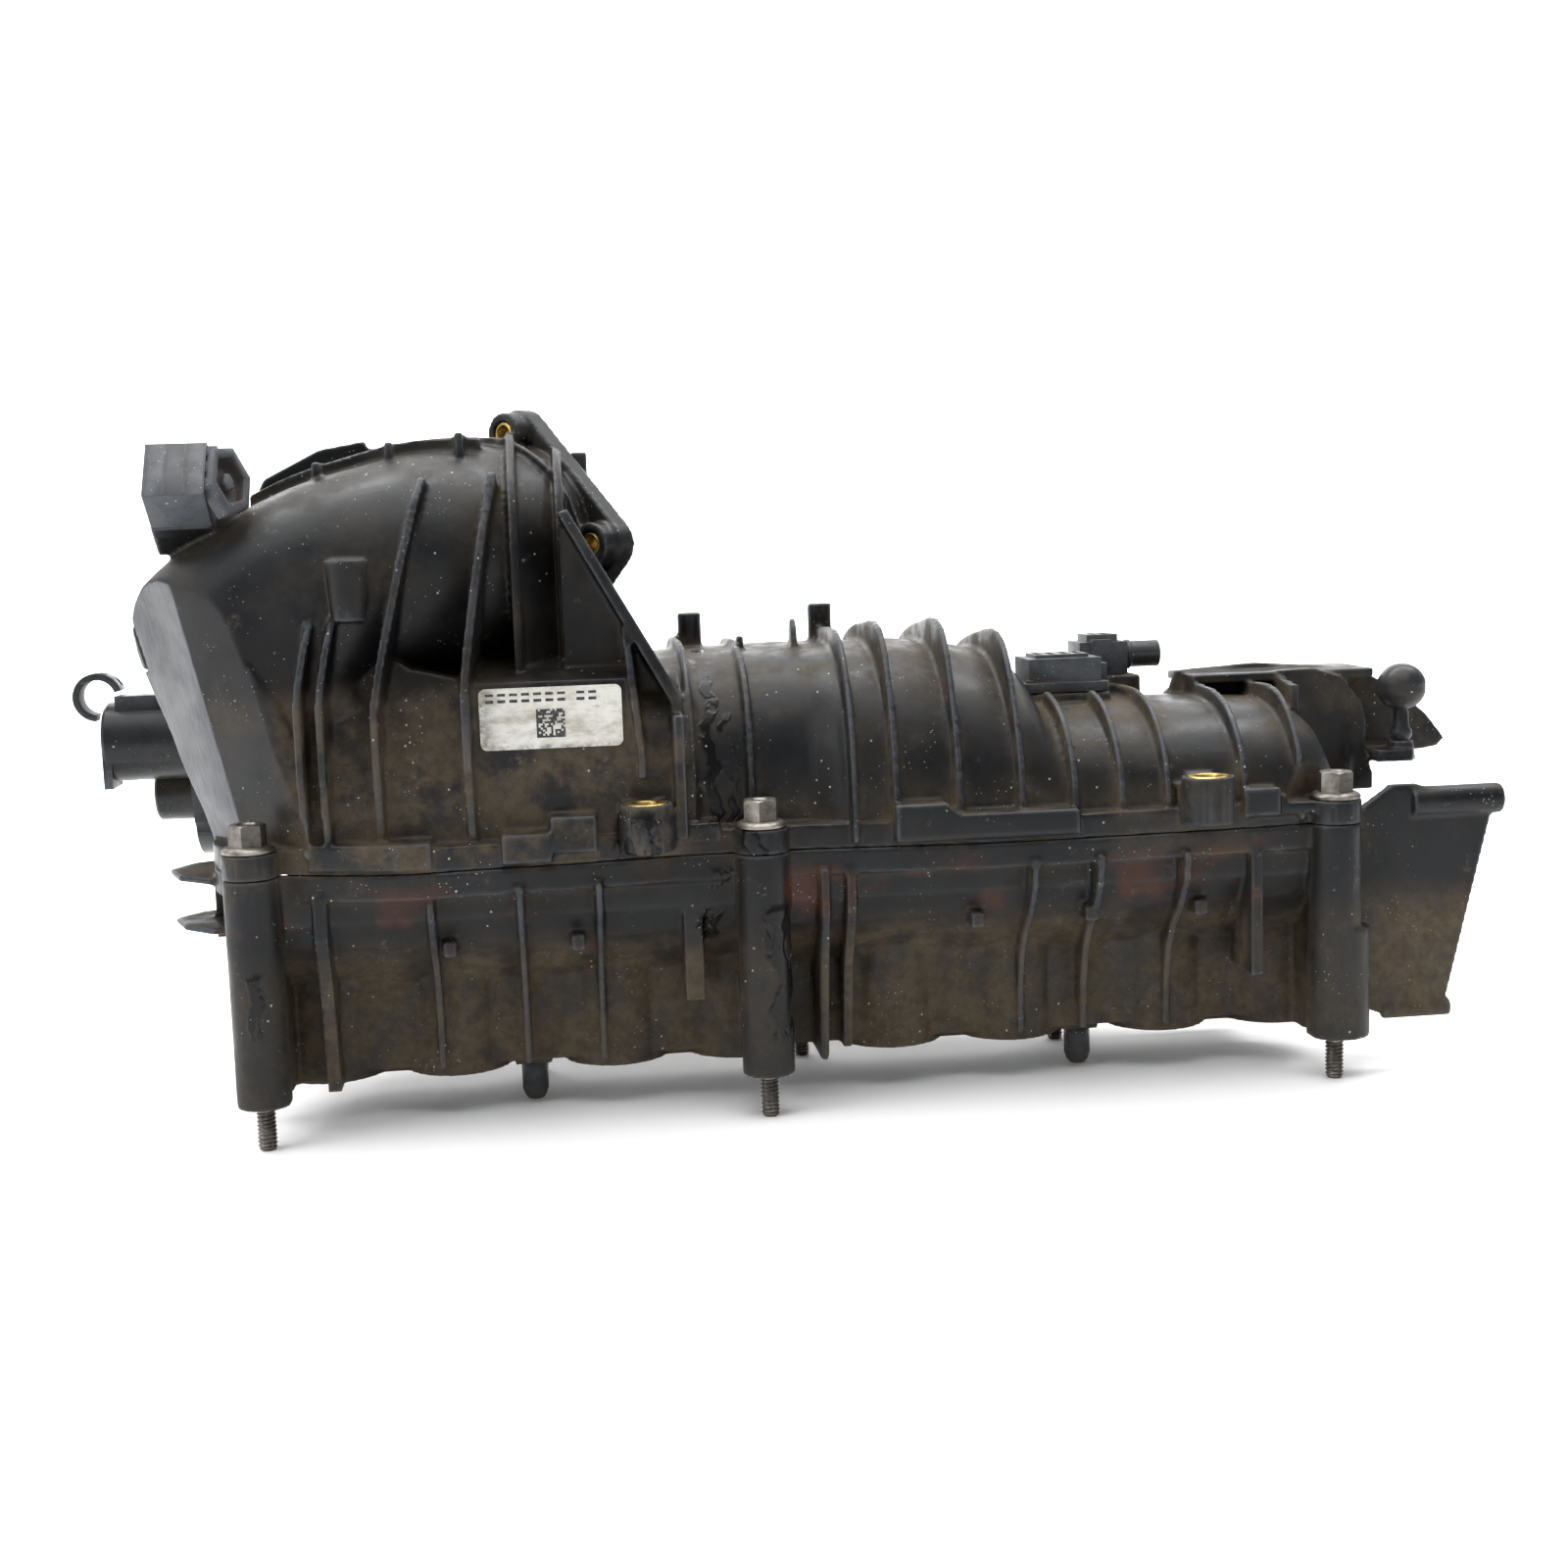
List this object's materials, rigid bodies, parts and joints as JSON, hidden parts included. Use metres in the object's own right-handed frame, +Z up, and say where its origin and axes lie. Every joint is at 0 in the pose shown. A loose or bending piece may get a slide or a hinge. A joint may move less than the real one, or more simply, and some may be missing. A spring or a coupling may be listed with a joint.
{
  "type": "intake manifold",
  "caption": "Black plastic intake manifold: long ribbed plenum over round runners, a high inlet elbow at one end, flange bolts, and swirl flaps turned by a gear actuator through a link rod.",
  "frame": {"origin": "on the face that bolts to the cylinder head, midway between the two middle cylinders, 2 mm behind the row of port centres", "axes": "+X along the engine, away from the inlet elbow; +Y to the back, where the actuator sits; +Z up from the port face into the plenum"},
  "size_m": [0.4714, 0.1533, 0.2242],
  "materials": {
    "glass_filled_nylon": "semi-matte black glass-filled nylon with oily dust",
    "dark_nylon": "smooth dark nylon",
    "grey_nylon": "matte grey sensor body",
    "zinc_steel": "dull zinc plating",
    "plain_steel": "plain steel",
    "brass": "dull brass",
    "seal_rubber": "matte black rubber",
    "label_film": "grimy white film",
    "natural_acetal": "natural acetal"
  },
  "bodies": {
    "manifold": {"lower_shell": "glass_filled_nylon", "upper_shell": "glass_filled_nylon", "elbow_rear_cover": "glass_filled_nylon", "front_bolt_1": "zinc_steel", "front_sleeve_1": "plain_steel", "front_bolt_2": "zinc_steel", "front_sleeve_2": "plain_steel", "front_bolt_3": "zinc_steel", "front_sleeve_3": "plain_steel", "rear_bolt_1": "zinc_steel", "rear_sleeve_1": "plain_steel", "rear_bolt_2": "zinc_steel", "rear_sleeve_2": "plain_steel", "rear_bolt_3": "zinc_steel", "rear_sleeve_3": "plain_steel", "port_seal_1": "seal_rubber", "port_seal_2": "seal_rubber", "port_seal_3": "seal_rubber", "port_seal_4": "seal_rubber", "port_seal_5": "seal_rubber", "port_seal_6": "seal_rubber", "port_seal_7": "seal_rubber", "port_seal_8": "seal_rubber", "inlet_seal": "seal_rubber", "inlet_insert_1": "brass", "inlet_insert_2": "brass", "inlet_insert_3": "brass", "inlet_insert_4": "brass", "boss_insert_1": "brass", "boss_insert_2": "brass", "locating_peg_1": "dark_nylon", "locating_peg_2": "dark_nylon", "label": "label_film", "ball_stud": "dark_nylon", "pressure_sensor": "grey_nylon", "temperature_sensor": "grey_nylon", "cable_connector": "dark_nylon", "connector_latch": "dark_nylon", "cable_clip": "dark_nylon", "shaft_bush_left": "natural_acetal", "shaft_bush_right": "natural_acetal", "actuator_housing": "dark_nylon", "actuator_cover": "dark_nylon", "motor_can": "plain_steel", "idler_pin": "plain_steel", "actuator_screw_1": "zinc_steel", "actuator_screw_2": "zinc_steel", "actuator_screw_3": "zinc_steel"},
    "output": {"output_gear": "natural_acetal", "output_lever": "plain_steel"},
    "link": {"link_rod": "dark_nylon"},
    "flaps": {"swirl_shaft": "plain_steel", "swirl_flap_1": "natural_acetal", "swirl_flap_2": "natural_acetal", "swirl_flap_3": "natural_acetal", "swirl_flap_4": "natural_acetal", "shaft_lever": "dark_nylon"},
    "motor": {"motor_pinion": "brass"},
    "idler": {"idler_gear": "natural_acetal"}
  },
  "joints": [
    {"name": "actuator_output", "type": "hinge", "parent": "manifold", "child": "output", "pos_m": [-0.1825, 0.068, 0.084], "axis": [1, 0, 0], "range_deg": [0, 80]},
    {"name": "swirl_shaft_turn", "type": "hinge", "parent": "manifold", "child": "flaps", "pos_m": [-0.1825, -0.002, 0.02], "axis": [1, 0, 0], "range_deg": [0, 80]},
    {"name": "link_pivot", "type": "hinge", "parent": "output", "child": "link", "pos_m": [-0.1787, 0.06861, 0.07001], "axis": [1, 0, 0], "range_deg": [-80, 0]},
    {"name": "idler_turn", "type": "hinge", "parent": "manifold", "child": "idler", "pos_m": [-0.193, 0.07637, 0.10304], "axis": [1, 0, 0], "range_deg": [-267, 0]},
    {"name": "motor_turn", "type": "hinge", "parent": "manifold", "child": "motor", "pos_m": [-0.193, 0.058, 0.104], "axis": [1, 0, 0], "range_deg": [0, 961]}
  ],
  "couplings": [
    {"joint": "swirl_shaft_turn", "follows": "actuator_output", "ratio": 1},
    {"joint": "link_pivot", "follows": "actuator_output", "ratio": -1},
    {"joint": "idler_turn", "follows": "actuator_output", "ratio": -3.3333},
    {"joint": "motor_turn", "follows": "actuator_output", "ratio": 12}
  ]
}
